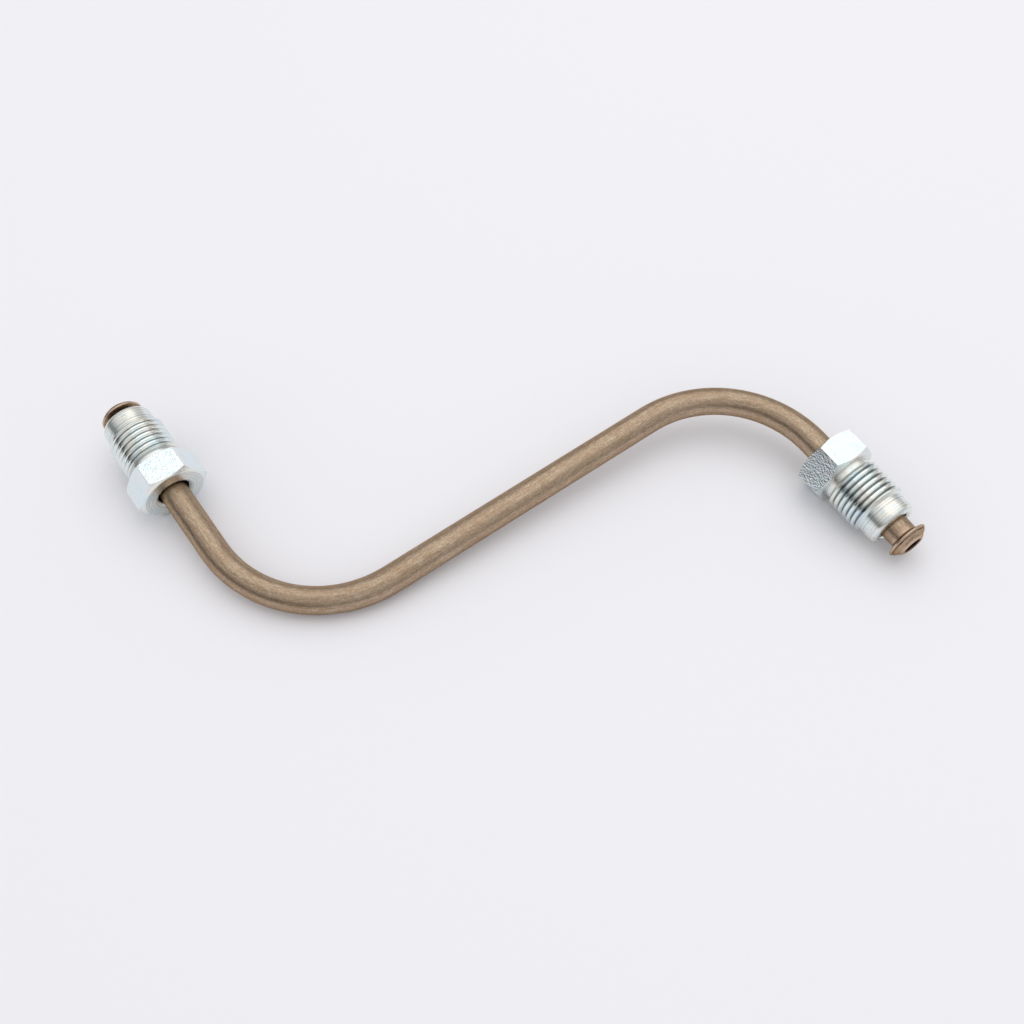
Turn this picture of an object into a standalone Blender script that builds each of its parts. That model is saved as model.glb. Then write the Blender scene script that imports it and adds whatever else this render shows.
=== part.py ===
"""A short brake line: one bent metal tube with a formed flare at each end, and a loose tube nut on each end.

It lies on a table as it comes to rest: on the hexagons of its two nuts and on the underside of its first bend.
Metres, +Z up. The origin is on the table, under the middle of the line. The first flared end is at low X.
"""

import math

import bmesh
import bpy
import numpy as np
from mathutils import Matrix, Vector

# The tube: 3/16 inch hard line. Legs are straight and measured from a flare's lip to the bend, or bend to bend.
TUBE_DIAMETER = 0.00475
TUBE_WALL = 0.00082
FIRST_LEG = 0.0318
FIRST_BEND_RADIUS = 0.02105
FIRST_BEND_ANGLE = math.radians(88.1)
MIDDLE_LEG = 0.0513
SECOND_BEND_RADIUS = 0.01975
SECOND_BEND_ANGLE = math.radians(89.3)
LAST_LEG = 0.0237
BEND_TWIST = math.radians(-3.3)  # the second bend's plane is turned this far about the middle leg
FIRST_LEG_HEADING = math.radians(-54.7)

# The flare: a cone rises from a rounded lip to a rounded rim, and a steeper cone falls back to the tube.
FLARE_DIAMETER = 0.0071
LIP_DIAMETER = 0.0038
LIP_ROUNDING = 0.0003
RIM_FROM_LIP = 0.0013
RIM_ROUNDING = 0.0004
FLARE_FRONT_ANGLE = math.radians(56)  # of the front cone's side, from the tube's axis
FLARE_BACK_LENGTH = 0.0012

# The nut: turned from 11 mm hexagon bar, threaded M10 x 1. Lengths run along it from the nose's face.
HEX_ACROSS_FLATS = 0.011
HEX_LENGTH = 0.0053
HEX_FACE_DIAMETER = 0.0105
HEX_CHAMFER_ANGLE = math.radians(30)
NOSE_DIAMETER = 0.0085
NOSE_LENGTH = 0.0034
NOSE_ROUNDING = 0.0009
THREAD_DIAMETER = 0.0098
THREAD_LENGTH = 0.0070
THREAD_CHAMFER = 0.0005
NECK_DIAMETER = 0.0086
NECK_LENGTH = 0.00095
BORE_CLEARANCE = 0.00043  # from the tube's skin to the nut's bore
BORE_COUNTERSINK = 0.0004
NOSE_COUNTERSINK = 0.00025

# Where the nuts lie: the first is pushed up to its flare, the second has slid back.
SEATED_GAP = 0.0003
SECOND_NUT_SLID_BACK = 0.0018

TUBE_SIDES = 24
NUT_SIDES = 36
BEND_STEP = math.radians(7.5)
ARC_STEPS = 4
RESTING_STEPS = 12

TUBE_RADIUS = TUBE_DIAMETER / 2
FLARE_RADIUS = FLARE_DIAMETER / 2
LIP_RADIUS = LIP_DIAMETER / 2
TUBE_BORE_RADIUS = TUBE_RADIUS - TUBE_WALL
NUT_BORE_RADIUS = TUBE_RADIUS + BORE_CLEARANCE
HEX_CORNER_RADIUS = HEX_ACROSS_FLATS / 2 / math.cos(math.pi / 6)
HEX_START = NOSE_LENGTH + THREAD_LENGTH + NECK_LENGTH
NUT_LENGTH = HEX_START + HEX_LENGTH
FLARE_LENGTH = RIM_FROM_LIP + FLARE_BACK_LENGTH
FIRST_NUT_FROM_LIP = FLARE_LENGTH + SEATED_GAP - NOSE_COUNTERSINK
SECOND_NUT_FROM_LIP = FIRST_NUT_FROM_LIP + SECOND_NUT_SLID_BACK


def clear_scene():
    for obj in list(bpy.data.objects):
        bpy.data.objects.remove(obj)


def metal(name, colour, roughness):
    """A bare metal finish."""
    material = bpy.data.materials.new(name)
    material.use_nodes = True
    shader = material.node_tree.nodes["Principled BSDF"]
    shader.inputs["Base Color"].default_value = (*colour, 1)
    shader.inputs["Metallic"].default_value = 1
    shader.inputs["Roughness"].default_value = roughness
    return material


def arc(centre_along, centre_radius, rounding, start, end):
    """Points of a rounded edge, as (distance along the axis, radius), with angles from the axis."""
    angles = np.linspace(start, end, ARC_STEPS + 1)
    return [(centre_along + rounding * math.cos(a), centre_radius + rounding * math.sin(a)) for a in angles]


def flare_outline():
    """A flare's outer side from its lip back to the plain tube, as (distance from the lip, radius)."""
    front_normal = FLARE_FRONT_ANGLE + math.pi / 2
    lip = arc(LIP_ROUNDING, LIP_RADIUS - LIP_ROUNDING, LIP_ROUNDING, math.pi, front_normal)
    rim_centre = FLARE_RADIUS - RIM_ROUNDING
    back_angle = math.atan2(FLARE_BACK_LENGTH, FLARE_RADIUS - TUBE_RADIUS)
    rim = arc(RIM_FROM_LIP, rim_centre, RIM_ROUNDING, front_normal, back_angle)
    return [*lip, *rim, (RIM_FROM_LIP + FLARE_BACK_LENGTH, TUBE_RADIUS)]


def turned_frame(frame, angle, radius, side):
    """The frame after a bend: +X runs along the tube, +Z is the axis that it bends about, side is +1 to the left."""
    centre = Matrix.Translation((0, side * radius, 0))
    return frame @ centre @ Matrix.Rotation(side * angle, 4, "Z") @ centre.inverted()


def tube_route():
    """Frames along the tube's centreline, as (distance from the first lip, frame with +X along the tube)."""
    frame = Matrix.Rotation(FIRST_LEG_HEADING, 4, "Z")
    travelled = 0.0
    route = [(travelled, frame)]
    bends = [
        (FIRST_LEG, FIRST_BEND_RADIUS, FIRST_BEND_ANGLE, 1, 0.0),
        (MIDDLE_LEG, SECOND_BEND_RADIUS, SECOND_BEND_ANGLE, -1, BEND_TWIST),
    ]
    for leg, radius, angle, side, twist in bends:
        frame = frame @ Matrix.Translation((leg, 0, 0)) @ Matrix.Rotation(twist, 4, "X")
        travelled += leg
        route.append((travelled, frame))
        steps = math.ceil(angle / BEND_STEP)
        start = frame
        for step in range(1, steps + 1):
            part = angle * step / steps
            frame = turned_frame(start, part, radius, side)
            route.append((travelled + part * radius, frame))
        travelled += angle * radius
    route.append((travelled + LAST_LEG, frame @ Matrix.Translation((LAST_LEG, 0, 0))))
    return route


def end_axis(route, end):
    """The lip's centre and the direction into the tube, at the first (0) or the last (-1) end."""
    frame = route[end][1]
    inwards = frame.to_3x3() @ Vector((1, 0, 0))
    return frame.translation, -inwards if end else inwards


def nut_supports(lip, inwards, from_lip):
    """Where a nut can touch the table, as (point on the axis, distance of the touching skin from the axis)."""
    chamfer = (HEX_CORNER_RADIUS - HEX_FACE_DIAMETER / 2) * math.tan(HEX_CHAMFER_ANGLE)
    spots = [
        (HEX_START + chamfer, HEX_ACROSS_FLATS / 2),
        (NUT_LENGTH - chamfer, HEX_ACROSS_FLATS / 2),
        (NOSE_LENGTH + THREAD_CHAMFER, THREAD_DIAMETER / 2),
    ]
    return [(lip + inwards * (from_lip + along), inwards, reach) for along, reach in spots]


def lowest(supports, placing):
    """The lowest point that these supports reach once placed."""
    found = []
    for centre, direction, reach in supports:
        axis = placing.to_3x3() @ direction
        down = Vector((0, 0, -1))
        drop = (down - axis * down.dot(axis)).normalized()
        found.append(placing @ centre + drop * reach)
    return min(found, key=lambda point: point.z)


def resting_placement(route):
    """The turn and lift that bring the three lowest places onto the table."""
    first = nut_supports(*end_axis(route, 0), FIRST_NUT_FROM_LIP)
    last = nut_supports(*end_axis(route, -1), SECOND_NUT_FROM_LIP)
    bend_end = FIRST_LEG + FIRST_BEND_ANGLE * FIRST_BEND_RADIUS
    bend = [
        (frame.translation, frame.to_3x3() @ Vector((1, 0, 0)), TUBE_RADIUS)
        for travelled, frame in route
        if FIRST_LEG <= travelled <= bend_end
    ]
    placing = Matrix.Identity(4)
    for _ in range(RESTING_STEPS):
        a, b, c = (lowest(supports, placing) for supports in (first, last, bend))
        normal = (b - a).cross(c - a)
        normal *= math.copysign(1, normal.z)
        level = normal.rotation_difference(Vector((0, 0, 1))).to_matrix().to_4x4()
        placing = level @ placing
        placing = Matrix.Translation((0, 0, -lowest(first, placing).z)) @ placing
    return placing


def ring(mesh, frame, radius):
    """A circle of points across the tube."""
    angles = np.linspace(0, 2 * math.pi, TUBE_SIDES, endpoint=False)
    points = [frame @ Vector((0, radius * math.cos(a), radius * math.sin(a))) for a in angles]
    return [mesh.verts.new(point) for point in points]


def build_tube(route, placing):
    """The whole line in one skin: out over both flares and back through the bore."""
    total = route[-1][0]
    first_frame, last_frame = route[0][1], route[-1][1]
    flare = flare_outline()
    skin = [(first_frame @ Matrix.Translation((along, 0, 0)), radius) for along, radius in flare]
    inner_route = [frame for travelled, frame in route if FLARE_LENGTH < travelled < total - FLARE_LENGTH]
    skin += [(frame, TUBE_RADIUS) for frame in inner_route]
    skin += [(last_frame @ Matrix.Translation((-along, 0, 0)), radius) for along, radius in reversed(flare)]
    bore = [(frame, TUBE_BORE_RADIUS) for frame in [first_frame, *inner_route, last_frame]]
    mesh = bmesh.new()
    rings = [ring(mesh, placing @ frame, radius) for frame, radius in [*skin, *reversed(bore)]]
    for near, far in zip(rings, [*rings[1:], rings[0]]):
        for side in range(TUBE_SIDES):
            after = (side + 1) % TUBE_SIDES
            mesh.faces.new((near[side], far[side], far[after], near[after]))
    bmesh.ops.recalc_face_normals(mesh, faces=mesh.faces)
    return finish_mesh("brake_tube", mesh, metal("copper_nickel", (0.40, 0.28, 0.19), 0.38))


def finish_mesh(name, mesh, material):
    data = bpy.data.meshes.new(name)
    mesh.to_mesh(data)
    mesh.free()
    data.shade_smooth()
    data.set_sharp_from_angle(angle=math.radians(30))
    data.materials.append(material)
    obj = bpy.data.objects.new(name, data)
    bpy.context.collection.objects.link(obj)
    return obj


def nut_outline():
    """The nut's turned section as (radius, height), from the hexagon's face down the outside and up the bore."""
    face = HEX_FACE_DIAMETER / 2
    chamfer = (HEX_CORNER_RADIUS - face) * math.tan(HEX_CHAMFER_ANGLE)
    thread = THREAD_DIAMETER / 2
    nose = NOSE_DIAMETER / 2
    outside = [
        (face, NUT_LENGTH),
        (HEX_CORNER_RADIUS, NUT_LENGTH - chamfer),
        (HEX_CORNER_RADIUS, HEX_START + chamfer),
        (face, HEX_START),
        (NECK_DIAMETER / 2, HEX_START),
        (NECK_DIAMETER / 2, HEX_START - NECK_LENGTH + THREAD_CHAMFER),
        (thread, HEX_START - NECK_LENGTH),
        (thread, NOSE_LENGTH + THREAD_CHAMFER),
        (nose, NOSE_LENGTH),
    ]
    rounding = arc(NOSE_ROUNDING, nose - NOSE_ROUNDING, NOSE_ROUNDING, math.pi / 2, math.pi)
    bore = [
        (NUT_BORE_RADIUS + NOSE_COUNTERSINK, 0),
        (NUT_BORE_RADIUS, NOSE_COUNTERSINK),
        (NUT_BORE_RADIUS, NUT_LENGTH - BORE_COUNTERSINK),
        (NUT_BORE_RADIUS + BORE_COUNTERSINK, NUT_LENGTH),
    ]
    return outside + [(radius, height) for height, radius in rounding] + bore


def level_frame(lip, inwards, from_lip):
    """A nut's frame: +Z along it from nose to hexagon, +X level, so that a pair of flats faces up and down."""
    across = Vector((0, 0, 1)).cross(inwards).normalized()
    upwards = inwards.cross(across)
    frame = Matrix((across, upwards, inwards)).transposed().to_4x4()
    frame.translation = lip + inwards * from_lip
    return frame


def build_nut(name, frame, material):
    """A turned body with its bore, cut to a hexagon by the bar that it was turned from."""
    outline = nut_outline()
    data = bpy.data.meshes.new(name)
    edges = [(point, (point + 1) % len(outline)) for point in range(len(outline))]
    data.from_pydata([(radius, 0, height) for radius, height in outline], edges, [])
    data.materials.append(material)
    nut = bpy.data.objects.new(name, data)
    bpy.context.collection.objects.link(nut)
    nut.matrix_world = frame

    turning = nut.modifiers.new("turning", "SCREW")
    turning.axis = "Z"
    turning.angle = 2 * math.pi
    turning.steps = NUT_SIDES
    turning.render_steps = NUT_SIDES
    turning.use_merge_vertices = True
    turning.merge_threshold = 0.00001
    turning.use_smooth_shade = True

    mesh = bmesh.new()
    bmesh.ops.create_cone(
        mesh,
        cap_ends=True,
        segments=6,
        radius1=HEX_CORNER_RADIUS,
        radius2=HEX_CORNER_RADIUS,
        depth=2 * NUT_LENGTH,
    )
    bar = finish_mesh(name + "_hexagon_bar", mesh, material)
    bar.parent = nut
    bar.location = (0, 0, NUT_LENGTH / 2)
    bar.rotation_euler.z = math.pi / 6  # the cone starts corner up, and the nut lies on a flat
    bar.hide_render = True
    bar.display_type = "WIRE"
    flats = nut.modifiers.new("flats", "BOOLEAN")
    flats.operation = "INTERSECT"
    flats.object = bar
    return nut


def centre_on_table(objects):
    """Moves the line so that its box is centred on the origin and stands on z = 0."""
    bpy.context.view_layer.update()
    graph = bpy.context.evaluated_depsgraph_get()
    corners = []
    for obj in objects:
        placed = obj.evaluated_get(graph)
        corners += [placed.matrix_world @ vertex.co for vertex in placed.data.vertices]
    points = np.array(corners)
    low, high = points.min(axis=0), points.max(axis=0)
    shift = Vector((-(low[0] + high[0]) / 2, -(low[1] + high[1]) / 2, -low[2]))
    for obj in objects:
        obj.location += shift


def build():
    clear_scene()
    route = tube_route()
    placing = resting_placement(route)
    tube = build_tube(route, placing)
    zinc = metal("zinc_plated_steel", (0.72, 0.73, 0.74), 0.28)
    placed = [(travelled, placing @ frame) for travelled, frame in (route[0], route[-1])]
    first = build_nut("first_tube_nut", level_frame(*end_axis(placed, 0), FIRST_NUT_FROM_LIP), zinc)
    second = build_nut("second_tube_nut", level_frame(*end_axis(placed, -1), SECOND_NUT_FROM_LIP), zinc)
    centre_on_table([tube, first, second])


build()
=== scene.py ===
"""The looks of a short brake line: its bent, flared tube and the two threaded tube nuts, on a pale table.

Metres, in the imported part's frame. The tube and both nuts are modelled again in full, with the real thread.
"""

import math

import bmesh
import bpy
import numpy as np
from mathutils import Matrix, Vector


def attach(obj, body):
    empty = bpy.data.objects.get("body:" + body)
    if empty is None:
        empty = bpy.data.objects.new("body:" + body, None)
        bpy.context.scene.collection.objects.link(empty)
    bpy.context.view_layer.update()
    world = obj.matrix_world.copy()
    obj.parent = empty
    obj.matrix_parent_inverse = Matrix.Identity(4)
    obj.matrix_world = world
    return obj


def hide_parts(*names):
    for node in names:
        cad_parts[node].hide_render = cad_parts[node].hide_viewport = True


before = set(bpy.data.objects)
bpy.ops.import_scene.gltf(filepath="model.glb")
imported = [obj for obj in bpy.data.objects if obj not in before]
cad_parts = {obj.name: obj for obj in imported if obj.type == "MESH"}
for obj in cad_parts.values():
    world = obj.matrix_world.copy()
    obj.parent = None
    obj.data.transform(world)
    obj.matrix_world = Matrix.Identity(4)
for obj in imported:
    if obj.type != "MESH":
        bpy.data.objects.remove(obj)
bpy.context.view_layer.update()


# The line itself: 3/16 inch copper-nickel tube. It is cut to length and left straight while a press forms
# a flare from its own wall at each end. It is then bent cold in two places, which flattens the bends a
# little. It is modelled in that order: drawn as rings, flared, bent, and laid down.

TUBE_RADIUS = 0.002375
TUBE_BORE_RADIUS = 0.001555
TUBE_SIDES = 72
FIRST_LEG = 0.0318
FIRST_BEND_RADIUS = 0.02105
FIRST_BEND_ANGLE = math.radians(88.1)
MIDDLE_LEG = 0.0513
SECOND_BEND_RADIUS = 0.01975
SECOND_BEND_ANGLE = math.radians(89.3)
LAST_LEG = 0.0237
BEND_TWIST = math.radians(-3.3)  # of the second bend's plane, about the middle leg
BEND_RINGS = 26
BEND_FLATTENING = 0.035
LEG_RING_SPACING = 0.004
WELD_DISTANCE = 1e-6
TUBE_SMOOTH_ANGLE = math.radians(35)

FLARE_RADIUS = 0.00355
LIP_ROUNDING = 0.00028
LIP_CONE_ANGLE = math.radians(150)
LIP_CONE_RADIUS = 0.00242
SEAT_RADIUS = 0.00328
SEAT_STEP = 0.00012
SEAT_STEP_RISE = 0.00005
RIM_FROM_LIP = 0.00136
RIM_ROUNDING = 0.00022
RIM_FRONT_ANGLE = math.radians(165)
FLARE_BACK_ANGLE = math.radians(20)
FOOT_ROUNDING = 0.00025
FLARE_ROUND_STEPS = 6
TOWARDS_AXIS = math.radians(270)

# How the line lies. The first lip's frame has Z into the tube, and X on the side that the first bend turns
# to. The heading is turned from the world's X, the drop is below level, and the roll is about the tube.
FIRST_LIP_AT = (-0.0652405, 0.0171697, 0.0077625)
FIRST_LEG_HEADING = math.radians(-54.4997)
FIRST_LEG_DROP = math.radians(6.9409)
FIRST_LEG_ROLL = math.radians(93.9316)


def make_active(piece):
    """Selects this piece alone, for the operators that work on the active one."""
    bpy.ops.object.select_all(action="DESELECT")
    piece.select_set(True)
    bpy.context.view_layer.objects.active = piece


def start_ring(name, height, radius, sides):
    """A new piece that begins as one ring round Z. It is open in edit mode, with the ring selected."""
    bpy.ops.object.select_all(action="DESELECT")
    bpy.ops.mesh.primitive_circle_add(vertices=sides, radius=radius, location=(0, 0, height))
    piece = bpy.context.object
    piece.name = name
    piece.data.name = name
    bpy.ops.object.transform_apply(location=True, rotation=True, scale=True)
    bpy.ops.object.mode_set(mode="EDIT")
    bpy.ops.mesh.select_mode(type="EDGE")
    bpy.ops.mesh.select_all(action="SELECT")
    return piece


def draw_rings(outline):
    """Pulls the selected ring, which is the outline's first, through its other (height, radius) steps."""
    for (height, radius), (next_height, next_radius) in zip(outline, outline[1:]):
        step = {"value": (0, 0, next_height - height)}
        bpy.ops.mesh.extrude_region_move(TRANSFORM_OT_translate=step)
        grown = next_radius / radius
        bpy.ops.transform.resize(value=(grown, grown, 1), center_override=(0, 0, next_height))


def close_piece():
    """Joins the last ring onto the first and turns all faces outwards."""
    bpy.ops.mesh.select_all(action="SELECT")
    bpy.ops.mesh.remove_doubles(threshold=WELD_DISTANCE)
    bpy.ops.mesh.normals_make_consistent(inside=False)
    bpy.ops.object.mode_set(mode="OBJECT")


def place_piece(piece, place):
    """Moves a piece to its place and leaves the place in its mesh."""
    make_active(piece)
    piece.matrix_world = place
    bpy.ops.object.transform_apply(location=True, rotation=True, scale=True)


def note_places(piece, name):
    """Keeps where each point is now as an attribute, so that the grain stays with the piece as it moves."""
    places = np.empty(len(piece.data.vertices) * 3, np.float32)
    piece.data.vertices.foreach_get("co", places)
    noted = piece.data.attributes.new(name, "FLOAT_VECTOR", "POINT")
    noted.data.foreach_set("vector", places)
    return places.reshape(-1, 3)


def rounded(centre_height, centre_radius, rounding, start, end, steps):
    """Points of a rounded edge, as (height, radius). Angles are from the axis."""
    angles = np.linspace(start, end, steps + 1)
    heights = [centre_height + rounding * math.cos(angle) for angle in angles]
    radii = [centre_radius + rounding * math.sin(angle) for angle in angles]
    return list(zip(heights, radii))


def flare_outline():
    """A flare from the bore round its lip and rim to the plain tube, as (distance from the lip, radius).

    The press leaves a step at each end of the cone that seats in the port, and a bead round the rim.
    """
    steps = FLARE_ROUND_STEPS
    lip_centre = TUBE_BORE_RADIUS + LIP_ROUNDING
    lip = rounded(LIP_ROUNDING, lip_centre, LIP_ROUNDING, TOWARDS_AXIS, LIP_CONE_ANGLE, 2 * steps)
    cone_length = (lip[-1][1] - LIP_CONE_RADIUS) / math.tan(LIP_CONE_ANGLE - math.pi / 2)
    lip_cone = (lip[-1][0] - cone_length, LIP_CONE_RADIUS)
    inner_step = (lip_cone[0] + SEAT_STEP, LIP_CONE_RADIUS + SEAT_STEP_RISE)
    rim_centre = FLARE_RADIUS - RIM_ROUNDING
    rim = rounded(RIM_FROM_LIP, rim_centre, RIM_ROUNDING, RIM_FRONT_ANGLE, FLARE_BACK_ANGLE, 2 * steps)
    seat_end = (rim[0][0] - 2 * SEAT_STEP, SEAT_RADIUS - SEAT_STEP_RISE)
    outer_step = (rim[0][0] - SEAT_STEP / 2, SEAT_RADIUS)

    foot_angle = FLARE_BACK_ANGLE + math.pi
    fillet_top = TUBE_RADIUS + FOOT_ROUNDING * (1 + math.sin(foot_angle))
    back_length = (rim[-1][1] - fillet_top) * math.tan(FLARE_BACK_ANGLE)
    foot = rim[-1][0] + back_length - FOOT_ROUNDING * math.cos(foot_angle)
    fillet = rounded(foot, TUBE_RADIUS + FOOT_ROUNDING, FOOT_ROUNDING, foot_angle, TOWARDS_AXIS, steps)
    return [*lip, lip_cone, inner_step, seat_end, outer_step, *rim, *fillet]


first_bend_length = FIRST_BEND_RADIUS * FIRST_BEND_ANGLE
second_bend_length = SECOND_BEND_RADIUS * SECOND_BEND_ANGLE
first_bend_end = FIRST_LEG + first_bend_length
second_bend_start = first_bend_end + MIDDLE_LEG
second_bend_end = second_bend_start + second_bend_length
tube_length = second_bend_end + LAST_LEG

flare = flare_outline()
flare_end = flare[-1][0]
stretches = [
    (flare_end, FIRST_LEG, LEG_RING_SPACING),
    (FIRST_LEG, first_bend_end, first_bend_length / BEND_RINGS),
    (first_bend_end, second_bend_start, LEG_RING_SPACING),
    (second_bend_start, second_bend_end, second_bend_length / BEND_RINGS),
    (second_bend_end, tube_length - flare_end, LEG_RING_SPACING),
]
ring_heights = []
for start, end, spacing in stretches:
    ring_heights += list(np.linspace(start, end, round((end - start) / spacing) + 1))[1:]
ring_heights.pop()

outside = flare + [(height, TUBE_RADIUS) for height in ring_heights]
outside += [(tube_length - height, radius) for height, radius in reversed(flare)]
bore = [(height, TUBE_BORE_RADIUS) for height in [*reversed(ring_heights), LIP_ROUNDING]]
tube = start_ring("copper_nickel_tube", LIP_ROUNDING, TUBE_BORE_RADIUS, TUBE_SIDES)
draw_rings([*outside, *bore])
close_piece()
drawn_heights = note_places(tube, "drawn_place")[:, 2]


def select_drawn(piece, low, high):
    """Selects the points that were drawn between these heights, in edit mode."""
    mesh = bmesh.from_edit_mesh(piece.data)
    for vertex, height in zip(mesh.verts, drawn_heights):
        vertex.select_set(bool(low < height < high))
    mesh.select_flush_mode()
    bmesh.update_edit_mesh(piece.data)


def bend_tube(piece, start, radius, angle, side):
    """Moves the tube so that start is at the origin, and bends it there about Y. side +1 is towards +X.

    The far end of the bend goes first, so each step is a plain move along Z and a turn about one centre.
    """
    place_piece(piece, Matrix.Translation((0, 0, -start)))
    turn = angle / BEND_RINGS
    step = radius * turn
    bpy.ops.object.mode_set(mode="EDIT")
    bpy.ops.mesh.select_mode(type="VERT")
    for ring in range(1, BEND_RINGS):
        flatter = 1 - BEND_FLATTENING * math.sin(math.pi * ring / BEND_RINGS)
        select_drawn(piece, start + (ring - 0.5) * step, start + (ring + 0.5) * step)
        bpy.ops.transform.resize(value=(flatter, 1, 1), center_override=(0, 0, ring * step))
    for ring in reversed(range(BEND_RINGS)):
        select_drawn(piece, start + (ring + 0.5) * step, math.inf)
        bpy.ops.transform.translate(value=(0, 0, -step))
        centre = (side * radius, 0, ring * step)
        bpy.ops.transform.rotate(value=-side * turn, orient_axis="Y", center_override=centre)
    bpy.ops.object.mode_set(mode="OBJECT")


first_lip = (
    Matrix.Translation(FIRST_LIP_AT)
    @ Matrix.Rotation(FIRST_LEG_HEADING, 4, "Z")
    @ Matrix.Rotation(math.pi / 2 + FIRST_LEG_DROP, 4, "Y")
    @ Matrix.Rotation(FIRST_LEG_ROLL, 4, "Z")
)
bend_tube(tube, second_bend_start, SECOND_BEND_RADIUS, SECOND_BEND_ANGLE, -1)
place_piece(tube, Matrix.Translation((0, 0, second_bend_start)) @ Matrix.Rotation(BEND_TWIST, 4, "Z"))
bend_tube(tube, FIRST_LEG, FIRST_BEND_RADIUS, FIRST_BEND_ANGLE, 1)
place_piece(tube, first_lip @ Matrix.Translation((0, 0, FIRST_LEG)))
bpy.ops.object.shade_smooth_by_angle(angle=TUBE_SMOOTH_ANGLE)


def new_material(name):
    """A material with a bare Principled shader, as (material, its node tree, the shader)."""
    material = bpy.data.materials.new(name)
    material.use_nodes = True
    return material, material.node_tree, material.node_tree.nodes["Principled BSDF"]


def add_node(tree, kind, sockets=(), **settings):
    """A new node. sockets pairs an input's name or number with a value, or with the output that feeds it."""
    node = tree.nodes.new("ShaderNode" + kind)
    for name, value in settings.items():
        setattr(node, name, value)
    for key, value in dict(sockets).items():
        if isinstance(value, bpy.types.NodeSocket):
            tree.links.new(value, node.inputs[key])
        else:
            node.inputs[key].default_value = value
    return node


def math_of(tree, operation, *values):
    """The result of a Math node on one, two or three numbers or outputs."""
    return add_node(tree, "Math", dict(enumerate(values)), operation=operation).outputs[0]


def product_of(tree, first, *others):
    """Numbers and outputs multiplied together."""
    for other in others:
        first = math_of(tree, "MULTIPLY", first, other)
    return first


def sum_of(tree, first, *others):
    """Numbers and outputs added up."""
    for other in others:
        first = math_of(tree, "ADD", first, other)
    return first


def ramp_of(tree, value, start, end, at_start=0.0, at_end=1.0):
    """A number that goes from at_start to at_end as the value goes from start to end, and no further."""
    run = {"Value": value, "From Min": start, "From Max": end, "To Min": at_start, "To Max": at_end}
    return add_node(tree, "MapRange", run).outputs["Result"]


def mix_of(tree, share, low, high):
    """A colour between two colours or colour outputs."""
    return add_node(tree, "Mix", {0: share, 6: low, 7: high}, data_type="RGBA").outputs[2]


def height_of(tree, place):
    """How far a place is along the piece's own Z."""
    return add_node(tree, "SeparateXYZ", {0: place}).outputs[2]


def radius_of(tree, place):
    """How far a place is from the piece's own Z."""
    flattening = {0: place, 1: (1.0, 1.0, 0.0)}
    flat_place = add_node(tree, "VectorMath", flattening, operation="MULTIPLY").outputs[0]
    return add_node(tree, "VectorMath", {0: flat_place}, operation="LENGTH").outputs["Value"]


def reach_of(tree, place, direction):
    """How far a place or a direction reaches in another direction."""
    sockets = {0: place, 1: direction}
    return add_node(tree, "VectorMath", sockets, operation="DOT_PRODUCT").outputs["Value"]


def new_group(name, inputs, outputs):
    """An empty shader node group, as (group, its input node, its output node)."""
    group = bpy.data.node_groups.new(name, "ShaderNodeTree")
    for socket, kind, value in inputs:
        made = group.interface.new_socket(socket, in_out="INPUT", socket_type="NodeSocket" + kind)
        if value is not None:
            made.default_value = value
    for socket, kind in outputs:
        group.interface.new_socket(socket, in_out="OUTPUT", socket_type="NodeSocket" + kind)
    return group, group.nodes.new("NodeGroupInput"), group.nodes.new("NodeGroupOutput")


def group_of(tree, group, **sockets):
    """The output of a node group that is placed in a material with its own values."""
    return add_node(tree, "Group", sockets, node_tree=group).outputs["Value"]


# Streaks along the drawing direction, which is each piece's own Z. Sizes are the streak's width and length.
drawing_grain, entry, result = new_group(
    "drawing_grain",
    [("Place", "Vector", None), ("Width", "Float", 0.0002), ("Length", "Float", 0.003)],
    [("Value", "Float")],
)
across_x, across_y, along_z = add_node(drawing_grain, "SeparateXYZ", {0: entry.outputs["Place"]}).outputs
across_x = math_of(drawing_grain, "DIVIDE", across_x, entry.outputs["Width"])
across_y = math_of(drawing_grain, "DIVIDE", across_y, entry.outputs["Width"])
along_z = math_of(drawing_grain, "DIVIDE", along_z, entry.outputs["Length"])
stretched = add_node(drawing_grain, "CombineXYZ", {0: across_x, 1: across_y, 2: along_z}).outputs[0]
streaks = add_node(drawing_grain, "TexNoise", {"Vector": stretched, "Scale": 1.0, "Detail": 3.0})
drawing_grain.links.new(streaks.outputs[0], result.inputs["Value"])

# Small even specks, as pickled or plated metal has. Size is the width of one.
specks, entry, result = new_group(
    "specks",
    [("Place", "Vector", None), ("Size", "Float", 0.0002), ("Detail", "Float", 2.0)],
    [("Value", "Float")],
)
per_metre = math_of(specks, "DIVIDE", 1.0, entry.outputs["Size"])
spread = {"Vector": entry.outputs["Place"], "Scale": per_metre, "Detail": entry.outputs["Detail"]}
speckled = add_node(specks, "TexNoise", spread)
specks.links.new(speckled.outputs[0], result.inputs["Value"])

# Fine rings round each piece's own Z, as a lathe or a press leaves them. Pitch is from one to the next.
# Height counts for a little less than distance from Z, so that a face at 45 degrees isn't left plain.
HEIGHT_SHARE = 0.83
turning_rings, entry, result = new_group(
    "turning_rings",
    [("Place", "Vector", None), ("Pitch", "Float", 0.0001)],
    [("Value", "Float")],
)
tool_path = sum_of(
    turning_rings,
    radius_of(turning_rings, entry.outputs["Place"]),
    product_of(turning_rings, height_of(turning_rings, entry.outputs["Place"]), HEIGHT_SHARE),
)
turns = math_of(turning_rings, "DIVIDE", tool_path, entry.outputs["Pitch"])
unevenness = {"W": turns, "Scale": 1.0, "Detail": 2.0}
ringed = add_node(turning_rings, "TexNoise", unevenness, noise_dimensions="1D")
turning_rings.links.new(ringed.outputs[0], result.inputs["Value"])


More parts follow.
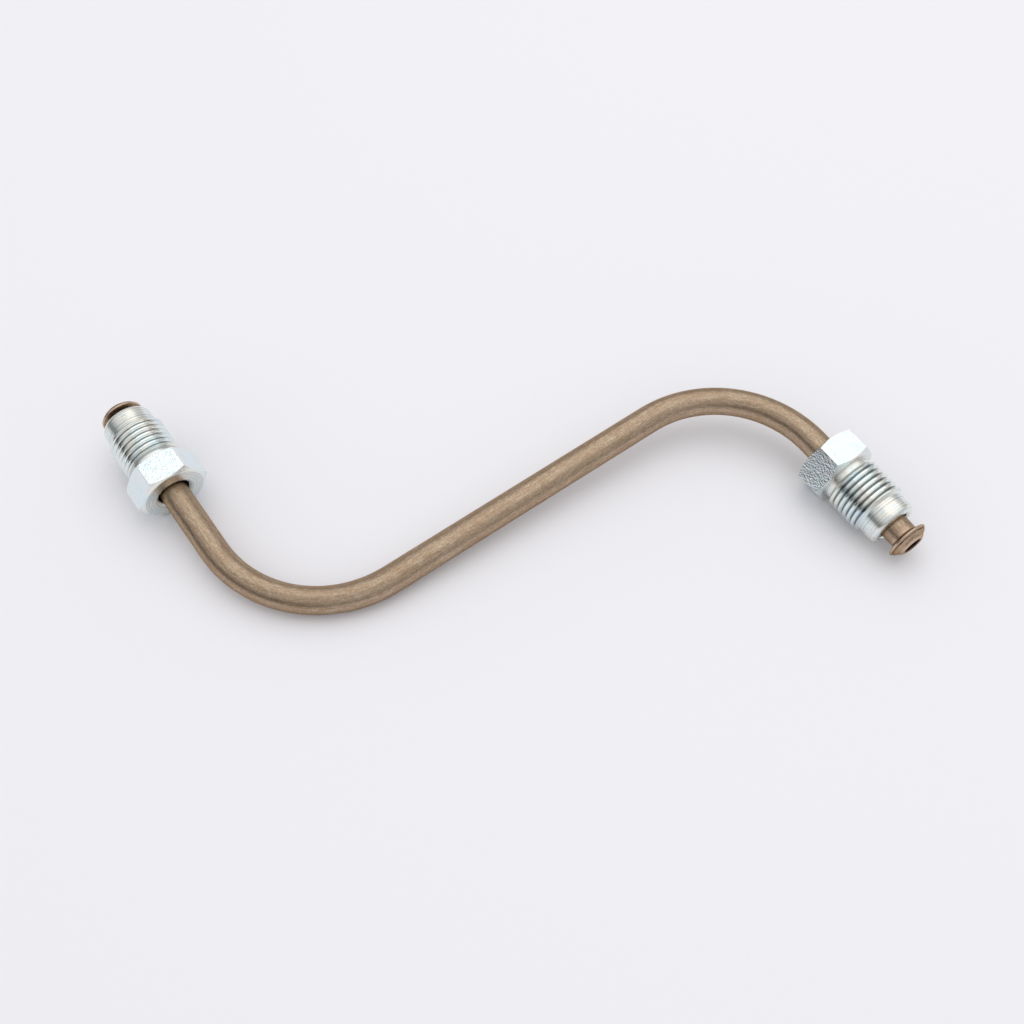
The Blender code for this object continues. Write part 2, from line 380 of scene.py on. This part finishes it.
# The tube's own finish: bronze-brown from pickling, streaked by drawing, and ringed by the press that formed
# the flares. Its marks show only near an end, each at its own distance from the tube's axis. The lip and the
# rim bead are painted paler, partly rubbed by the press and partly a painted highlight. The crease between
# the seat and the rim bead is painted dark as painted shade, and the bore near-black as painted shade down
# the hole.
DRAWN_DARK = (0.35, 0.243, 0.157, 1)
DRAWN_LIGHT = (0.435, 0.33, 0.236, 1)
SCUFFED_LIGHT = (0.66, 0.54, 0.42, 1)
SCUFFED_DARK = (0.27, 0.17, 0.10, 1)
PICKLED = (0.64, 0.53, 0.40, 1)
CLOUDED = (0.36, 0.245, 0.16, 1)
PRESSED_RING = (0.55, 0.37, 0.25, 1)
# Lip and rim colours: partly the press's rub, partly painted highlight. Crease and bore colours: painted
# shade.
RUBBED_LIP = (0.70, 0.52, 0.42, 1)
CREASE_BROWN = (0.13, 0.07, 0.045, 1)
RUBBED_RIM = (0.70, 0.55, 0.42, 1)
BORE_BROWN = (0.03, 0.02, 0.015, 1)
GRAZING_TINT = (0.66, 0.57, 0.49, 1)
PRESS_MARKS_START = 0.0028
PRESS_MARKS_FULL = 0.0023
BORE_SHADE_START_RADIUS = 0.00172
BORE_SHADE_FULL_RADIUS = 0.0016
RUBBED_LIP_RADIUS = 0.0023
CREASE_START_RADIUS = 0.00315
CREASE_INNER_RADIUS = 0.00326
CREASE_OUTER_RADIUS = 0.0033
RUBBED_RIM_START_RADIUS = 0.00336
RUBBED_RIM_FULL_RADIUS = 0.00346

copper_nickel, tree, shader = new_material("copper_nickel")
drawn_place = add_node(tree, "Attribute", attribute_name="drawn_place").outputs["Vector"]
long_grain = group_of(tree, drawing_grain, Place=drawn_place, Width=0.00022, Length=0.004)
fine_grain = group_of(tree, drawing_grain, Place=drawn_place, Width=0.00009, Length=0.0009)
mottling = group_of(tree, drawing_grain, Place=drawn_place, Width=0.0003, Length=0.0012)
pickling = group_of(tree, specks, Place=drawn_place, Size=0.0003, Detail=1.0)
clouding = group_of(tree, specks, Place=drawn_place, Size=0.006)
pressing = group_of(tree, turning_rings, Place=drawn_place, Pitch=0.00022)

height = height_of(tree, drawn_place)
from_axis = radius_of(tree, drawn_place)
from_near_end = math_of(tree, "MINIMUM", height, math_of(tree, "SUBTRACT", tube_length, height))
pressed = ramp_of(tree, from_near_end, PRESS_MARKS_START, PRESS_MARKS_FULL)
press_rings = product_of(tree, pressed, ramp_of(tree, pressing, start=0.42, end=0.62, at_end=0.5))
# The lip: paler, partly from the press's rub and partly as a painted highlight.
lip_rub = ramp_of(tree, from_axis, LIP_CONE_RADIUS, RUBBED_LIP_RADIUS, at_end=0.6)
# The crease between the seat and the rim bead: painted shade.
crease_inside = ramp_of(tree, from_axis, CREASE_START_RADIUS, CREASE_INNER_RADIUS)
crease_outside = ramp_of(tree, from_axis, RUBBED_RIM_START_RADIUS, CREASE_OUTER_RADIUS, at_end=0.7)
# The rim bead: paler, partly from the press's rub and partly as a painted highlight.
rim_rub = ramp_of(tree, from_axis, RUBBED_RIM_START_RADIUS, RUBBED_RIM_FULL_RADIUS, at_end=0.55)
# The bore: painted near-black, as painted shade down the hole.
inside = ramp_of(tree, from_axis, BORE_SHADE_START_RADIUS, BORE_SHADE_FULL_RADIUS, at_end=0.9)

bronze = mix_of(tree, ramp_of(tree, long_grain, start=0.35, end=0.65), DRAWN_DARK, DRAWN_LIGHT)
bronze = mix_of(tree, ramp_of(tree, mottling, start=0.52, end=0.66, at_end=0.35), bronze, SCUFFED_LIGHT)
bronze = mix_of(tree, ramp_of(tree, mottling, start=0.48, end=0.34, at_end=0.25), bronze, SCUFFED_DARK)
bronze = mix_of(tree, ramp_of(tree, pickling, start=0.50, end=0.64, at_end=0.4), bronze, PICKLED)
bronze = mix_of(tree, ramp_of(tree, clouding, start=0.4, end=0.65, at_end=0.3), bronze, CLOUDED)
bronze = mix_of(tree, press_rings, bronze, PRESSED_RING)
# Next: painted highlight on the lip and rim bead, painted shade in the crease and down the bore.
bronze = mix_of(tree, product_of(tree, pressed, lip_rub), bronze, RUBBED_LIP)
bronze = mix_of(tree, product_of(tree, pressed, crease_inside, crease_outside), bronze, CREASE_BROWN)
bronze = mix_of(tree, product_of(tree, pressed, rim_rub), bronze, RUBBED_RIM)
bronze = mix_of(tree, inside, bronze, BORE_BROWN)
tree.links.new(bronze, shader.inputs["Base Color"])

dullness = ramp_of(tree, fine_grain, start=0.3, end=0.7, at_start=0.29, at_end=0.37)
burnishing = product_of(tree, pressed, 0.06)
tree.links.new(math_of(tree, "SUBTRACT", dullness, burnishing), shader.inputs["Roughness"])
shader.inputs["Metallic"].default_value = 1
shader.inputs["Specular Tint"].default_value = GRAZING_TINT
relief = sum_of(tree, fine_grain, product_of(tree, pickling, 0.8), product_of(tree, pressed, pressing, 2.0))
bump = add_node(tree, "Bump", {"Strength": 0.27, "Distance": 0.00002, "Height": relief})
tree.links.new(bump.outputs[0], shader.inputs["Normal"])

tube.data.materials.append(copper_nickel)
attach(tube, "tube")
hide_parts("brake_tube")


# The two tube nuts: free-cutting steel, turned from 11 mm hexagon bar in a lathe, bored for the tube,
# threaded M10 x 1 and plated with blue zinc. Each is loose on the tube, held only by the flares and bends.
# One is modelled as it is made: turned, cut to the bar's hexagon, threaded, plated. The other is its copy.

HEX_ACROSS_FLATS = 0.011
HEX_LENGTH = 0.0053
HEX_FACE_RADIUS = 0.00525
HEX_CORNER_RADIUS = HEX_ACROSS_FLATS / 2 / math.cos(math.pi / 6)
HEX_CHAMFER_ANGLE = math.radians(30)
HEX_CHAMFER_LENGTH = (HEX_CORNER_RADIUS - HEX_FACE_RADIUS) * math.tan(HEX_CHAMFER_ANGLE)
NOSE_RADIUS = 0.00425
NOSE_LENGTH = 0.0034
NOSE_ROUNDING = 0.0009
NOSE_ROUND_STEPS = 8
THREAD_RADIUS = 0.0049
THREAD_LENGTH = 0.00635
THREAD_CHAMFER = 0.0005
THREAD_START = NOSE_LENGTH + THREAD_CHAMFER
NECK_RADIUS = 0.0043
NECK_LENGTH = 0.0016
NECK_START = NOSE_LENGTH + THREAD_LENGTH
BORE_CLEARANCE = 0.00043
NUT_BORE_RADIUS = TUBE_RADIUS + BORE_CLEARANCE
NOSE_COUNTERSINK = 0.00025
BORE_COUNTERSINK = 0.0004
HEX_START = NECK_START + NECK_LENGTH
NUT_LENGTH = HEX_START + HEX_LENGTH
NUT_SIDES = 96
NUT_SHARP_ANGLE = math.radians(25)
DULLED_EDGE = 0.00006
DULLED_EDGE_STEPS = 4

PITCH = 0.001
FLANK_SLOPE = math.radians(60)
THREAD_DEPTH = 0.00048
CREST_FLAT = 0.00022
CREST_ROUNDING = 0.00012
ROOT_ROUNDING = 0.00006
THREAD_ROUND_STEPS = 4
CREST_SPARE = 0.000004
CLEAR_OF_CREST = 0.0001
GROOVE_START = 0.0029
GROOVE_START_TURN = math.radians(-90)
GROOVE_TURNS = 8
SECTION_STRAIGHT_ANGLE = math.radians(1)

FIRST_NUT_FROM_LIP = 0.00255
SECOND_NUT_SLID_BACK = 0.0018


def cut_with(piece, tool, operation):
    """Cuts the piece with another solid, which is then thrown away."""
    cut = piece.modifiers.new(operation.lower(), "BOOLEAN")
    cut.operation = operation
    cut.solver = "MANIFOLD"
    cut.object = tool
    make_active(piece)
    bpy.ops.object.modifier_apply(modifier=cut.name)
    bpy.data.objects.remove(tool)


def dull_edges():
    """Rounds every sharp edge of the active piece a little."""
    bpy.ops.object.mode_set(mode="EDIT")
    bpy.ops.mesh.select_mode(type="EDGE")
    bpy.ops.mesh.select_all(action="DESELECT")
    bpy.ops.mesh.edges_select_sharp(sharpness=NUT_SHARP_ANGLE)
    bpy.ops.mesh.bevel(offset=DULLED_EDGE, segments=DULLED_EDGE_STEPS, affect="EDGES")
    bpy.ops.object.mode_set(mode="OBJECT")


def turn_blank(name):
    """The nut as the lathe leaves it before its thread: a turned and bored length of hexagon bar."""
    nose_centre = (NOSE_ROUNDING, NOSE_RADIUS - NOSE_ROUNDING)
    nose = rounded(*nose_centre, NOSE_ROUNDING, math.pi, math.pi / 2, NOSE_ROUND_STEPS)
    outline = [
        (0, NUT_BORE_RADIUS + NOSE_COUNTERSINK),
        *nose,
        (NOSE_LENGTH, NOSE_RADIUS),
        (THREAD_START, THREAD_RADIUS),
        (NECK_START, THREAD_RADIUS),
        (NECK_START + THREAD_CHAMFER, NECK_RADIUS),
        (HEX_START, NECK_RADIUS),
        (HEX_START, HEX_FACE_RADIUS),
        (HEX_START + HEX_CHAMFER_LENGTH, HEX_CORNER_RADIUS),
        (NUT_LENGTH - HEX_CHAMFER_LENGTH, HEX_CORNER_RADIUS),
        (NUT_LENGTH, HEX_FACE_RADIUS),
        (NUT_LENGTH, NUT_BORE_RADIUS + BORE_COUNTERSINK),
        (NUT_LENGTH - BORE_COUNTERSINK, NUT_BORE_RADIUS),
        (NOSE_COUNTERSINK, NUT_BORE_RADIUS),
        (0, NUT_BORE_RADIUS + NOSE_COUNTERSINK),
    ]
    nut = start_ring(name, *outline[0], NUT_SIDES)
    draw_rings(outline)
    close_piece()
    dull_edges()

    bpy.ops.object.select_all(action="DESELECT")
    bpy.ops.mesh.primitive_cylinder_add(
        vertices=6, radius=HEX_CORNER_RADIUS, depth=2 * NUT_LENGTH, location=(0, 0, NUT_LENGTH / 2)
    )
    bar = bpy.context.object
    bar.rotation_euler.z = math.pi / 6
    bpy.ops.object.transform_apply(location=True, rotation=True, scale=True)
    dull_edges()
    cut_with(nut, bar, "INTERSECT")
    return nut


def groove_section():
    """Half of the thread groove's section, from its root out past the crests, as (radius, half width)."""
    crest_radius = THREAD_RADIUS + CREST_SPARE
    root_radius = crest_radius - THREAD_DEPTH
    crest_width = (PITCH - CREST_FLAT) / 2
    rise = THREAD_DEPTH + CREST_ROUNDING + ROOT_ROUNDING
    root_width = crest_width - rise / math.tan(FLANK_SLOPE)
    root = []
    crest = []
    for slope in np.linspace(0, FLANK_SLOPE, THREAD_ROUND_STEPS + 1):
        inwards = 1 - math.cos(slope)
        sideways = math.sin(slope)
        root.append((root_radius + ROOT_ROUNDING * inwards, root_width + ROOT_ROUNDING * sideways))
        crest.append((crest_radius - CREST_ROUNDING * inwards, crest_width - CREST_ROUNDING * sideways))
    return [*root, *reversed(crest), (crest_radius + CLEAR_OF_CREST, crest_width)]


def thread_groove():
    """The path that the threading tool clears, as one solid helix.

    Its section is a plane, whose outer edge is pulled out step by step and widened at each.
    """
    section = groove_section()
    (radius, width), (next_radius, next_width) = section[:2]
    middle = (radius + next_radius) / 2
    section_centre = (0, 0, GROOVE_START)
    upright = (math.pi / 2, 0, 0)
    bpy.ops.object.select_all(action="DESELECT")
    bpy.ops.mesh.primitive_plane_add(size=1, location=(middle, 0, GROOVE_START), rotation=upright)
    groove = bpy.context.object
    groove.scale = (next_radius - radius, 2 * width, 1)
    bpy.ops.object.transform_apply(location=True, rotation=True, scale=True)
    bpy.ops.object.mode_set(mode="EDIT")
    bpy.ops.mesh.select_mode(type="VERT")
    mesh = bmesh.from_edit_mesh(groove.data)
    for vertex in mesh.verts:
        vertex.select_set(vertex.co.x > middle)
    mesh.select_flush_mode()
    bmesh.update_edit_mesh(groove.data)
    bpy.ops.transform.resize(value=(1, 1, next_width / width), center_override=section_centre)
    for (radius, width), (next_radius, next_width) in zip(section[1:], section[2:]):
        bpy.ops.mesh.extrude_region_move(TRANSFORM_OT_translate={"value": (next_radius - radius, 0, 0)})
        bpy.ops.transform.resize(value=(1, 1, next_width / width), center_override=section_centre)
    bpy.ops.mesh.select_all(action="SELECT")
    bpy.ops.mesh.dissolve_limited(angle_limit=SECTION_STRAIGHT_ANGLE)
    bpy.ops.object.mode_set(mode="OBJECT")

    winding = groove.modifiers.new("winding", "SCREW")
    winding.axis = "Z"
    winding.angle = 2 * math.pi
    winding.screw_offset = PITCH
    winding.iterations = GROOVE_TURNS
    winding.steps = NUT_SIDES
    winding.render_steps = NUT_SIDES
    winding.use_normal_calculate = True
    bpy.ops.object.modifier_apply(modifier=winding.name)
    bpy.ops.object.mode_set(mode="EDIT")
    bpy.ops.mesh.select_all(action="SELECT")
    bpy.ops.mesh.fill_holes(sides=0)
    bpy.ops.mesh.select_all(action="SELECT")
    bpy.ops.mesh.normals_make_consistent(inside=False)
    bpy.ops.object.mode_set(mode="OBJECT")
    groove.rotation_euler.z = GROOVE_START_TURN
    bpy.ops.object.transform_apply(location=True, rotation=True, scale=True)
    return groove


# The plating: a mirror-bright blue zinc, with a faint yellow and violet bloom where it is thicker. It shows
# the bar's grain on the flats and the lathe's rings elsewhere. Grey streaks are painted along those rings as
# a painted reflection of the dark that the turned ridges mirror, and the thread's roots are painted dark as
# shade.
FLATS_BLUE = (0.78, 0.88, 0.90, 1)
FLATS_GREEN = (0.81, 0.88, 0.88, 1)
TURNED_BLUE = (0.76, 0.86, 0.86, 1)
TURNED_YELLOW = (0.90, 0.90, 0.82, 1)
BLOOM_BLUE = (0.70, 0.77, 0.87, 1)
BLOOM_VIOLET = (0.87, 0.80, 0.81, 1)
# The streak grey is a painted reflection; the root grey is painted shade.
TOOL_STREAK_GREY = (0.40, 0.37, 0.36, 1)
ROOT_GREY = (0.16, 0.18, 0.20, 1)
ROOT_SHADE_START_RADIUS = 0.00468
ROOT_SHADE_FULL_RADIUS = 0.00448
FLAT_MARGIN = 0.00001

zinc_plate, tree, shader = new_material("zinc_plate")
turned_place = add_node(tree, "Attribute", attribute_name="turned_place").outputs["Vector"]
bar_grain = group_of(tree, drawing_grain, Place=turned_place, Width=0.00016, Length=0.0012)
bar_specks = group_of(tree, specks, Place=turned_place, Size=0.0003, Detail=1.0)
fine_rings = group_of(tree, turning_rings, Place=turned_place, Pitch=0.00009)
tool_rings = group_of(tree, turning_rings, Place=turned_place, Pitch=0.00019)
plate_cloud = group_of(tree, specks, Place=turned_place, Size=0.0035, Detail=1.0)
plate_tint = group_of(tree, specks, Place=turned_place, Size=0.0012, Detail=1.0)

half_across_flats = 0.0
for facing in (math.radians(30), math.radians(90), math.radians(150)):
    reach = reach_of(tree, turned_place, (math.cos(facing), math.sin(facing), 0.0))
    half_across_flats = math_of(tree, "MAXIMUM", math_of(tree, "ABSOLUTE", reach), half_across_flats)
on_a_flat = math_of(tree, "GREATER_THAN", half_across_flats, HEX_ACROSS_FLATS / 2 - FLAT_MARGIN)
turned = math_of(tree, "SUBTRACT", 1.0, on_a_flat)
height = height_of(tree, turned_place)
past_nose = math_of(tree, "GREATER_THAN", height, THREAD_START)
before_neck = math_of(tree, "LESS_THAN", height, NECK_START)
threaded = product_of(tree, past_nose, before_neck)
plain_turned = math_of(tree, "SUBTRACT", turned, threaded)
from_axis = radius_of(tree, turned_place)
# The thread's roots: painted dark, as painted shade down in the recesses.
root_shade = ramp_of(tree, from_axis, ROOT_SHADE_START_RADIUS, ROOT_SHADE_FULL_RADIUS, at_end=0.8)
# Grey streaks along the lathe's rings, off the thread: a painted reflection of the dark the turned ridges
# mirror.
tool_streaks = product_of(tree, plain_turned, ramp_of(tree, tool_rings, start=0.47, end=0.36, at_end=0.5))

clouds = ramp_of(tree, plate_cloud, start=0.35, end=0.65)
flats_plating = mix_of(tree, clouds, FLATS_BLUE, FLATS_GREEN)
turned_plating = mix_of(tree, clouds, TURNED_BLUE, TURNED_YELLOW)
plating = mix_of(tree, on_a_flat, turned_plating, flats_plating)
plating = mix_of(tree, ramp_of(tree, plate_tint, start=0.52, end=0.72, at_end=0.5), plating, BLOOM_BLUE)
plating = mix_of(tree, ramp_of(tree, plate_tint, start=0.46, end=0.30, at_end=0.4), plating, BLOOM_VIOLET)
# Painted reflection along the rings, then painted shade in the thread's roots.
plating = mix_of(tree, tool_streaks, plating, TOOL_STREAK_GREY)
plating = mix_of(tree, product_of(tree, root_shade, threaded), plating, ROOT_GREY)
tree.links.new(plating, shader.inputs["Base Color"])

flat_dullness = ramp_of(tree, bar_specks, start=0.3, end=0.7, at_start=0.09, at_end=0.16)
turned_dullness = ramp_of(tree, fine_rings, start=0.3, end=0.7, at_start=0.12, at_end=0.22)
dullness = sum_of(
    tree,
    product_of(tree, on_a_flat, flat_dullness),
    product_of(tree, turned, turned_dullness),
    product_of(tree, plain_turned, 0.09),
)
tree.links.new(dullness, shader.inputs["Roughness"])
shader.inputs["Metallic"].default_value = 1
bar_relief = sum_of(tree, product_of(tree, bar_grain, 0.4), product_of(tree, bar_specks, 3.3))
ring_relief = sum_of(tree, product_of(tree, fine_rings, 0.6), product_of(tree, tool_rings, 1.44))
relief = sum_of(
    tree,
    product_of(tree, on_a_flat, bar_relief),
    product_of(tree, plain_turned, ring_relief),
)
bump = add_node(tree, "Bump", {"Strength": 0.6, "Distance": 0.00003, "Height": relief})
tree.links.new(bump.outputs[0], shader.inputs["Normal"])


def bend_frame(radius, angle, side):
    """The frame at the end of a bend about Y, from the frame at its start. side +1 is towards +X."""
    centre = Matrix.Translation((side * radius, 0, 0))
    return centre @ Matrix.Rotation(side * angle, 4, "Y") @ centre.inverted()


def nut_place(lip, inwards, from_lip):
    """A nut's place on its leg: X is level, Y is up from its top flat, Z is from its nose to its hexagon."""
    across = Vector((0, 0, 1)).cross(inwards).normalized()
    turn = Matrix((across, inwards.cross(across), inwards)).transposed().to_4x4()
    return Matrix.Translation(lip + inwards * from_lip) @ turn


first_nut = turn_blank("first_nut_with_thread")
cut_with(first_nut, thread_groove(), "DIFFERENCE")
bpy.ops.object.shade_smooth_by_angle(angle=NUT_SHARP_ANGLE)
note_places(first_nut, "turned_place")
first_nut.data.materials.clear()
first_nut.data.materials.append(zinc_plate)
second_nut = first_nut.copy()
second_nut.data = first_nut.data.copy()
second_nut.name = "second_nut_with_thread"
bpy.context.collection.objects.link(second_nut)

second_lip = (
    first_lip
    @ Matrix.Translation((0, 0, FIRST_LEG))
    @ bend_frame(FIRST_BEND_RADIUS, FIRST_BEND_ANGLE, 1)
    @ Matrix.Translation((0, 0, MIDDLE_LEG))
    @ Matrix.Rotation(BEND_TWIST, 4, "Z")
    @ bend_frame(SECOND_BEND_RADIUS, SECOND_BEND_ANGLE, -1)
    @ Matrix.Translation((0, 0, LAST_LEG))
)
second_nut_from_lip = FIRST_NUT_FROM_LIP + SECOND_NUT_SLID_BACK
place_piece(first_nut, nut_place(first_lip.translation, first_lip.col[2].to_3d(), FIRST_NUT_FROM_LIP))
place_piece(second_nut, nut_place(second_lip.translation, -second_lip.col[2].to_3d(), second_nut_from_lip))

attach(first_nut, "first_nut")
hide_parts("first_tube_nut")

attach(second_nut, "second_nut")
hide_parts("second_tube_nut")


# The table: one plain board in a pale matt grey with a faint cool tint, far larger than the view. The line
# rests on it. It is modelled a hair below the line, so that no face of the two falls together.

TABLE_SIZE = 6
TABLE_BELOW_LINE = 0.00002
TABLE_COLOUR = (0.86, 0.855, 0.885, 1)

bpy.ops.object.select_all(action="DESELECT")
bpy.ops.mesh.primitive_plane_add(size=TABLE_SIZE, location=(0, 0, -TABLE_BELOW_LINE))
table = bpy.context.object
table.name = "table"
pale_board, tree, shader = new_material("pale_board")
shader.inputs["Base Color"].default_value = TABLE_COLOUR
shader.inputs["Roughness"].default_value = 0.6
shader.inputs["Specular IOR Level"].default_value = 0.2
table.data.materials.append(pale_board)


# The studio: one wide soft lamp above and behind, to the right, in a pale room. Metal sees the room dark
# just above the table, most of all to the left and in front, so that it has something to show. It sees the
# room dimmer behind the lamp, whose panel would hide it. Other surfaces get more light from the left.

LAMP_SIZE = 1.1
LAMP_POWER = 3.5
LAMP_AT = (0.14, 0.27, 0.84)
ROOM_COLOUR = (0.97, 0.97, 0.98, 1)
LEFT_AND_IN_FRONT = (-0.91, -0.41, 0.0)

lamp_data = bpy.data.lights.new("soft_lamp", "AREA")
lamp_data.shape = "SQUARE"
lamp_data.size = LAMP_SIZE
lamp_data.energy = LAMP_POWER
lamp = bpy.data.objects.new("soft_lamp", lamp_data)
lamp.location = LAMP_AT
lamp.rotation_euler = (-lamp.location).to_track_quat("-Z", "Y").to_euler()
bpy.context.collection.objects.link(lamp)

room = bpy.data.worlds.new("pale_room")
room.use_nodes = True
tree = room.node_tree
towards = add_node(tree, "TexCoord").outputs["Generated"]
upwards = height_of(tree, towards)
leftwards = reach_of(tree, towards, LEFT_AND_IN_FRONT)
lampwards = reach_of(tree, towards, lamp.location.normalized())

wall_foot = ramp_of(tree, upwards, start=0.03, end=0.13)
wall_top = ramp_of(tree, upwards, start=0.70, end=0.25)
wall_darkness = ramp_of(tree, leftwards, start=0.0, end=0.7, at_start=0.2, at_end=0.85)
lit_wall = math_of(tree, "SUBTRACT", 1.0, product_of(tree, wall_foot, wall_top, wall_darkness))
overhead = ramp_of(tree, upwards, start=0.05, end=0.55, at_start=0.60, at_end=0.80)
behind_lamp = ramp_of(tree, lampwards, start=0.79, end=0.86, at_start=1.0, at_end=0.38)
in_reflections = product_of(tree, overhead, behind_lamp, lit_wall)
on_surfaces = ramp_of(tree, leftwards, start=-1.0, end=1.0, at_start=0.56, at_end=0.97)

rays = add_node(tree, "LightPath").outputs
to_camera = rays["Is Camera Ray"]
reflected = math_of(tree, "MAXIMUM", rays["Is Glossy Ray"], rays["Is Transmission Ray"])
scattered = math_of(tree, "SUBTRACT", 1.0, math_of(tree, "MAXIMUM", reflected, to_camera))
strength = sum_of(
    tree,
    to_camera,
    product_of(tree, reflected, in_reflections),
    product_of(tree, scattered, on_surfaces),
)
background = tree.nodes["Background"]
background.inputs["Color"].default_value = ROOM_COLOUR
tree.links.new(strength, background.inputs["Strength"])
bpy.context.scene.world = room


# The camera: as the photograph was taken, from in front of the line and well above it, through a lens a
# little longer than a standard one. Its turn is given in degrees about X, Y and Z.

CAMERA_AT = (0.001661, -0.108984, 0.172438)
CAMERA_TURN = (32.2851, 0.7843, -1.0325)
CAMERA_LENS = 42.752
CAMERA_SENSOR = 36
CAMERA_SEES_FROM = 0.01
CAMERA_SEES_TO = 20

camera_data = bpy.data.cameras.new("camera")
camera_data.lens = CAMERA_LENS
camera_data.sensor_width = CAMERA_SENSOR
camera_data.clip_start = CAMERA_SEES_FROM
camera_data.clip_end = CAMERA_SEES_TO
camera = bpy.data.objects.new("camera", camera_data)
camera.location = CAMERA_AT
camera.rotation_euler = [math.radians(turn) for turn in CAMERA_TURN]
bpy.context.collection.objects.link(camera)
bpy.context.scene.camera = camera

bpy.context.scene.view_settings.view_transform = "Standard"
